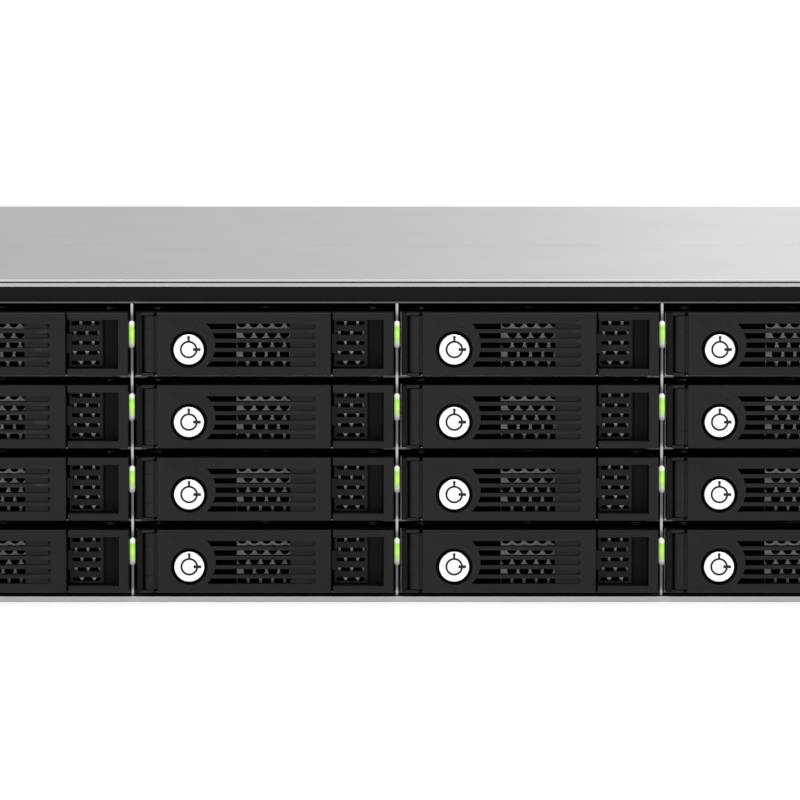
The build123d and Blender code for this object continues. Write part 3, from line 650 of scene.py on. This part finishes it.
def buildCatch():
    d = catch
    x, y = d["x"], d["y"]
    inset = moulding["edgeStrip"] + d["gap"]
    middle = faceHeight / 2
    plate = addBlock("releaseCatch", x, y, (inset, faceHeight - inset))
    corner = lambda p, v: abs(v.z) > facing and p.x > x[1] - slack and p.y < y[0] + slack
    roundEdges(plate, d["corner"], 5, corner)
    for i in range(d["slotCount"]):
        z = middle + (i - d["slotCount"] // 2) * d["slotPitch"]
        cut(plate, pillCutter("catchSlot", [x[0] + end for end in d["slotX"]], z, d["slotHeight"],
                              (y[0] - past, y[1] + past)))
    nose = addBlock("nose", (x[0] - d["noseReach"], x[0] + d["noseLap"]), (y[0] - d["noseFront"], y[1]),
                    around(middle, d["noseHalf"]))
    soften(weld(plate, nose), 0.12)
    # painted shade: the catch's nose, seen through the gap by the lever, is painted near black
    noseShade = lambda p, n: p.x < x[0] - d["noseStart"]
    return paint(plate, charcoalAbs, (shadedAbs, noseShade))


# sled: base with side walls, and the perforated screen at its front

sled = {"x": (1.45, 106.95), "end": 159.7, "base": (-1.0, 0.2), "wall": 1.65, "wallTop": 16.0, "wallEnd": 2.0,
        "wallCorner": 5.0, "wallCornerFrom": (50, 5), "screwY": (30, 62, 130), "screwZ": 6.5,
        "screwRadius": 1.8,
        "windowX": (20, 88), "windowY": (40, 95), "windowLength": 36, "windowCorner": 5.0,
        "screenX": (40.5, 104.0), "screenY": (5.7, 6.7), "screenFoot": -0.8, "screenTop": 0.5,
        "screenEdge": 3.0,
        "holeRadius": 2.05, "holePitch": (5.0, 4.3), "holeShift": 0.6, "frontDepth": 0.5}


def buildWall(x):
    d = sled
    wall = addBlock("wall", x, (d["screenY"][1], d["end"] - d["wallEnd"]), (0, d["wallTop"]))
    fromY, fromZ = d["wallCornerFrom"]
    roundEdges(wall, d["wallCorner"], 5, lambda p, v: abs(v.x) > facing and p.z > fromZ and p.y > fromY)
    for y in d["screwY"]:
        start = (x[0] - past, y, d["screwZ"])
        cut(wall, addRod("screwHole", d["screwRadius"], start, d["wall"] + 2 * past, "X", 20))
    return wall


def buildPunches():  # one cutter for all the holes, every other row half a pitch to the right
    d = sled
    pitchX, pitchZ = d["holePitch"]
    y = (d["screenY"][0] - past, d["screenY"][1] + past)
    countX = int((d["screenX"][1] - d["screenX"][0] - 2 * d["holeRadius"]) / pitchX)
    countZ = int((faceHeight - d["screenEdge"] - 2 * d["holeRadius"]) / pitchZ)
    startX = (sum(d["screenX"]) - countX * pitchX) / 2
    startZ = (faceHeight - countZ * pitchZ) / 2 - d["holeShift"]
    punches = []
    for j in range(countZ + 1):
        for i in range(countX + 1 - j % 2):
            x = startX + (j % 2) * pitchX / 2 + i * pitchX
            punches.append(addBore("punch", d["holeRadius"], x, y, startZ + j * pitchZ, sides=16))
    return joinAll(punches, "punches")


def buildSled():
    d = sled
    x0, x1 = d["x"]
    plate = addBlock("traySled", d["x"], (d["screenY"][0], d["end"]), d["base"])
    weld(plate, buildWall((x0, x0 + d["wall"])), buildWall((x1 - d["wall"], x1)))
    through = (d["base"][0] - past, d["base"][1] + past)
    for y in d["windowY"]:  # lightening windows in the base
        hole = addBlock("window", d["windowX"], (y, y + d["windowLength"]), through)
        cut(plate, roundEdges(hole, d["windowCorner"], 5, lambda p, v: abs(v.z) > facing))
    weld(plate, addBlock("screen", d["x"], d["screenY"], (d["screenFoot"], faceHeight - d["screenTop"])))
    cut(plate, buildPunches())
    shadeSmooth(plate)
    # painted light: the screen takes the paler screen steel so it shows lit through the lever's slots
    front = lambda p, n: p.y < d["screenY"][1] + d["frontDepth"]
    return paint(plate, millSteel, (screenSteelPaintedLight, front))


drive = {"x": (3.4, 105.0), "y": (12.0, 159.0), "z": (0.2, 26.3), "corner": 3.0, "broken": 0.3,
         "lidRise": 0.5, "lidLap": 0.5, "lidInset": 3.0, "lidBack": 14.0, "lidCorner": 6.0,
         "hubY": 58.0, "dishRadius": 18.0, "dishDepth": 0.35, "screwRadius": 2.4, "screwDepth": 0.45,
         "screws": ((-44, -50), (44, -50), (-44, 0), (44, 0), (-44, 68), (44, 68), (0, -50), (0, 30)),
         "socketX": (12.0, 54.0), "socketDepth": 8.0, "socketZ": (1.0, 6.0), "labelStart": 20.0,
         "frontDepth": 3.5}


def cutSocket(case):
    d = drive
    x = [d["x"][0] + side for side in d["socketX"]]
    z = [d["z"][0] + side for side in d["socketZ"]]
    cut(case, addBlock("socket", x, (d["y"][1] - d["socketDepth"], d["y"][1] + 2 * past), z))


def inSocket(p, n):
    d = drive
    left, right = (d["x"][0] + side for side in d["socketX"])
    within = left - 1 < p.x < right + 1 and p.y > d["y"][1] - d["socketDepth"] - 0.5
    return within and p.z < d["z"][0] + d["socketZ"][1] + 0.5 and n.z < facing


def buildDrive():
    d = drive
    x, y, z = d["x"], d["y"], d["z"]
    case = addBlock("hardDrive", x, y, (z[0], z[1] - d["lidRise"]))
    roundEdges(case, d["corner"], 5, lambda p, v: abs(v.z) > facing)
    lid = addBlock("lid", (x[0] + d["lidInset"], x[1] - d["lidInset"]),
                   (y[0] + d["lidInset"], y[1] - d["lidBack"]), (z[1] - d["lidRise"] - d["lidLap"], z[1]))
    roundEdges(lid, d["lidCorner"], 6, lambda p, v: abs(v.z) > facing)
    weld(case, lid)
    hub = Vector(((x[0] + x[1]) / 2, y[0] + d["hubY"], z[1]))
    cut(case, addRod("dish", d["dishRadius"], hub - Vector((0, 0, d["dishDepth"])), 2 * past, "Z", 64))
    for aside, along in d["screws"]:
        head = hub + Vector((aside, along, -d["screwDepth"]))
        cut(case, addRod("lidScrew", d["screwRadius"], head, 2 * past, "Z", 20))
    cutSocket(case)
    soften(case, d["broken"])
    label = lambda p, n: n.z > facing and p.z > z[1] - slack and p.y > hub.y + d["labelStart"]
    screwHead = lambda p, n: n.z > facing and -0.5 < p.z - z[1] < -0.4
    # painted shade: the drive's front end is painted near black, as it lies in shade behind the screen
    front = lambda p, n: p.y < y[0] + d["frontDepth"]
    return paint(case, castAluminium, (shadedAbs, front), (portNylon, inSocket), (nickelPlate, screwHead),
                 (driveLabel, label))


pipe = {"width": 2.2, "height": 11.3, "depth": 4.0, "middle": 16.65, "frontEdge": 0.8}


def buildLens():  # light pipe over the right divider, with a UV map that runs down it
    d = pipe
    low = d["middle"] - d["height"] / 2
    lens = addBlock("lightPipe", around(bayPitch / mm, d["width"] / 2), (-d["depth"], 0),
                    around(d["middle"], d["height"] / 2))
    roundEdges(lens, d["width"] / 2 - near, 8, lambda p, v: abs(v.y) > facing)
    roundEdges(lens, d["frontEdge"], 4, lambda p, v: p.y < -d["depth"] + near)
    shadeSmooth(lens, 50)
    layer = lens.data.uv_layers[0] if lens.data.uv_layers else lens.data.uv_layers.new(name="alongPipe")
    for loop in lens.data.loops:
        point = lens.data.vertices[loop.vertex_index].co / mm
        layer.data[loop.index].uv = (0.5, 1 - (point.z - low) / d["height"])
    return paint(lens, lensGreen)


# each kind's builder, the body it rides, the node it stands for in the reference bay, and its slot
bayPieces = {"lever": (buildLever, "handle", None, "charcoal_plastic"),
             "keyLock": (buildLock, "handle", "lock", "lock_chrome"),
             "moulding": (buildMoulding, "tray", "bezel", "charcoal_plastic"),
             "releaseCatch": (buildCatch, "tray", "latch", "charcoal_plastic"),
             "traySled": (buildSled, "tray", None, "drive_and_tray"),
             "hardDrive": (buildDrive, "tray", "drive", "drive_and_tray"),
             "hingePin": (buildPin, "tray", "bezel", "charcoal_plastic"),
             "lightPipe": (buildLens, None, None, "green_lens")}
ownBodies = ("lock", "latch")  # nodes of the reference bay that move by themselves


def placePiece(kind, source, bay, corner):
    builder, rides, ownNode, slot = bayPieces[kind]
    piece = copyTo(source, f"{kind}_{bay}", corner)
    if rides is None:  # the light pipes are the case's own
        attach(piece, "chassis")
        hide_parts("light_pipes")
        return
    body = node = f"{rides}_{bay}"
    if bay == referenceBay and ownNode:
        node = f"{ownNode}_{bay}"
        body = node if ownNode in ownBodies else body
    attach(piece, body)
    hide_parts(node)


def fillBays():
    sources = {kind: settings[0]() for kind, settings in bayPieces.items()}
    print("one bay modelled")
    for column in range(1, columns + 1):
        for row in range(1, rows + 1):
            corner = bayCorner(column, row)
            for kind, source in sources.items():
                placePiece(kind, source, f"c{column}r{row}", corner)
    for source in sources.values():
        bpy.data.objects.remove(source)
    print("bays filled:", columns * rows)


# case: the nodes' own shapes, with broken edges where they show

supply = {"right": -136.3, "rear": 263.2, "low": (3.5, 46.5), "height": 40.0, "inletX": -196.3,
          "inletReach": (12.1, 8.1), "inletStart": 0.2, "pinPitch": 7.0, "pinReach": (1.1, 4.2),
          "pinStart": 13.9,
          "handleStart": 0.1, "tabWidth": 10.0}
ports = {"left": -106.3, "rear": 262.8, "low": 9.8, "liningStart": 0.3,  # openings: x, width, height, wall
         "openings": ((22, 16.5, 13.5, 2.2), (40, 16.5, 13.5, 2.2), (58, 16.5, 13.5, 2.2),
                      (76, 16.5, 13.5, 2.2),
                      (100, 14.5, 16, 1.6), (117, 14.5, 16, 1.6), (138, 15, 10.5, 1.2), (155, 15, 10.5, 1.2))}
case = {"seamDrop": 1.15, "seamHalf": 0.3, "seamReach": 0.8, "lipTop": 0.5, "lipReach": 3.0,
        "lipFacing": -0.1,
        "ledgeStart": 13.8, "ledgeTop": 1.0, "boardSheet": 1.7}


def inPort(p, n):
    d = ports
    for left, width, height, wall in d["openings"]:
        x = d["left"] + left
        across = x + wall - slack < p.x < x + width - wall + slack
        if across and d["low"] + wall - slack < p.z < d["low"] + height - wall + slack:
            return p.y < d["rear"] - d["liningStart"]
    return False


def supplyExtras(low):  # materials of the inlet, its pins, the handle and the release tab
    d = supply
    middle = low + d["height"] / 2
    reachX, reachZ = d["inletReach"]
    pinX, pinZ = d["pinReach"]
    atInlet = lambda p: abs(p.x - d["inletX"]) < reachX and abs(p.z - middle) < reachZ
    atPin = lambda p: any(abs(p.x - d["inletX"] - i * d["pinPitch"]) < pinX for i in (-1, 0, 1)) \
        and abs(p.z - middle) < pinZ
    outside = lambda p: p.y > d["rear"] + d["handleStart"]
    inlet = lambda p, n: atInlet(p) and p.y < d["rear"] - d["inletStart"]
    pins = lambda p, n: inlet(p, n) and atPin(p) and p.y > d["rear"] - d["pinStart"]
    handle = lambda p, n: outside(p) and p.x < d["right"] - d["tabWidth"]
    tab = lambda p, n: outside(p) and p.x > d["right"] - d["tabWidth"]
    return (portNylon, inlet), (nickelPlate, pins), (blackPowder, handle), (pullTab, tab)


def dressSteel():  # nodes shown by a softened copy: material, slot, width of the broken edge, extras
    d = case
    front = steelFront / mm
    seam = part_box("front_top_panel")[1].z / mm - d["seamDrop"]
    # painted shade: the groove under the top panel's front edge is painted near black
    grooveShade = lambda p, n: abs(p.z - seam) < d["seamHalf"] and p.y < front + d["seamReach"]
    # painted shade: the lip's lower bevel, facing the floor, takes the dark underside steel
    lowEdgeShade = lambda p, n: p.z < d["lipTop"] and p.y < front - d["lipReach"] and n.z < d["lipFacing"]
    ledgeTop = cageHigh.z / mm - d["ledgeTop"]
    # painted shade: the ledges deep in the bays take the darker mill steel so their front ends don't glint
    ledgeShade = lambda p, n: p.y > front + d["ledgeStart"] and abs(n.x) < facing and p.z < ledgeTop
    dressed = {"front_top_panel": (satinSteel, "satin_steel", 0.12, (shadedAbs, grooveShade)),
               "rear_cover": (satinSteel, "satin_steel", 0.12),
               "base_pan": (satinSteel, "satin_steel", 0.4, (underEdgeShade, lowEdgeShade)),
               "bay_dividers": (cutEdgePaintedLight, "zinc_steel", 0.08, (millSteel, ledgeShade)),
               "header_bar": (blackPowder, "black_steel", 0.2),
               "ear_left": (blackPowder, "black_steel", 0.2),
               "ear_right": (blackPowder, "black_steel", 0.2),
               "power_button": (charcoalAbs, "charcoal_plastic", 0.1),
               "slot_brackets": (millSteel, "zinc_steel", 0.1),
               "cpu_heatsink": (finAluminium, "fin_aluminium", 0.1),
               "case_screws": (nickelPlate, "screw_steel", 0.3),
               "psu_lower": (millSteel, "supply_case", 0.15, *supplyExtras(supply["low"][0])),
               "psu_upper": (millSteel, "supply_case", 0.15, *supplyExtras(supply["low"][1]))}
    bodyOf = {node: body for body, nodes in frame["record"]["behaviour"]["bodies"].items() for node in nodes}
    for node, (material, slot, width, *extras) in dressed.items():
        piece = paint(cleanCopy(node, f"{node}_dressed", width), material, *extras)
        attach(piece, bodyOf[node])
        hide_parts(node)
    print("case dressed:", len(dressed))


def paintInside():  # nodes shown as they are
    socket = lambda p, n: p.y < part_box("backplane")[1].y / mm - case["boardSheet"]
    painted = {"rear_panel": (millSteel,), "psu_cage": (millSteel,),
               "port_blocks": (nickelPlate, (portNylon, inPort)),
               "backplane": (boardGreen, (socketIvory, socket)), "mainboard": (boardGreen,),
               "memory_modules": (boardGreen,), "fan_frames": (fanPbt,), "fan_rotor_1": (fanPbt,),
               "fan_rotor_2": (fanPbt,), "fan_rotor_3": (fanPbt,)}
    for node, (material, *extras) in painted.items():
        paint(frame["nodes"][node], material, *extras)
    print("inside painted:", len(painted))


# studio

camera = {"lens": 278.0, "sensor": 36, "place": (0.001225, -2.5191, 0.3017), "pitch": 4.97, "farEnd": 200}
studio = {"floorSize": 60, "floorPlace": (0, 5, 0), "air": 0.55}
lights = {"skyPanel": {"kind": "SUN", "place": (0, 0, 5), "turn": (12, 0, 0), "power": 2.0, "spread": 60},
          "rearPanel": {"kind": "AREA", "place": (1.9, 3.4, 1.5), "turn": (-64, 0, -27), "power": 38,
                        "size": 4.0}}


def addFloor():
    deselectAll()
    bpy.ops.mesh.primitive_plane_add(size=studio["floorSize"], location=studio["floorPlace"])
    floor = settle(bpy.context.active_object, "floor")
    paint(floor, paleFloor())
    floor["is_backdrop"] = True


def addCamera():  # place is measured from the front edge of the steel
    place = Vector(camera["place"]) + Vector((0, steelFront, 0))
    bpy.ops.object.camera_add(location=place, rotation=(math.radians(90 - camera["pitch"]), 0, 0))
    view = bpy.context.active_object
    view.data.lens = camera["lens"]
    view.data.sensor_width = camera["sensor"]
    view.data.clip_end = camera["farEnd"]
    bpy.context.scene.camera = view


def addLights():
    world = bpy.data.worlds.new("studioAir")
    world.use_nodes = True
    air = world.node_tree.nodes["Background"]
    air.inputs["Color"].default_value = (1, 1, 1, 1)
    air.inputs["Strength"].default_value = studio["air"]
    bpy.context.scene.world = world
    for name, d in lights.items():
        turn = [math.radians(angle) for angle in d["turn"]]
        bpy.ops.object.light_add(type=d["kind"], location=d["place"], rotation=turn)
        light = bpy.context.active_object
        light.name = name
        light.data.energy = d["power"]
        if d["kind"] == "SUN":
            light.data.angle = math.radians(d["spread"])
        else:
            light.data.size = d["size"]
    bpy.context.scene.view_settings.view_transform = "Standard"


fillBays()
dressSteel()
paintInside()
addFloor()
addCamera()
addLights()
print("scene ready")

{"cad": [list(corner) for corner in cadBox], "visual": [list(corner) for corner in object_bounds()]}
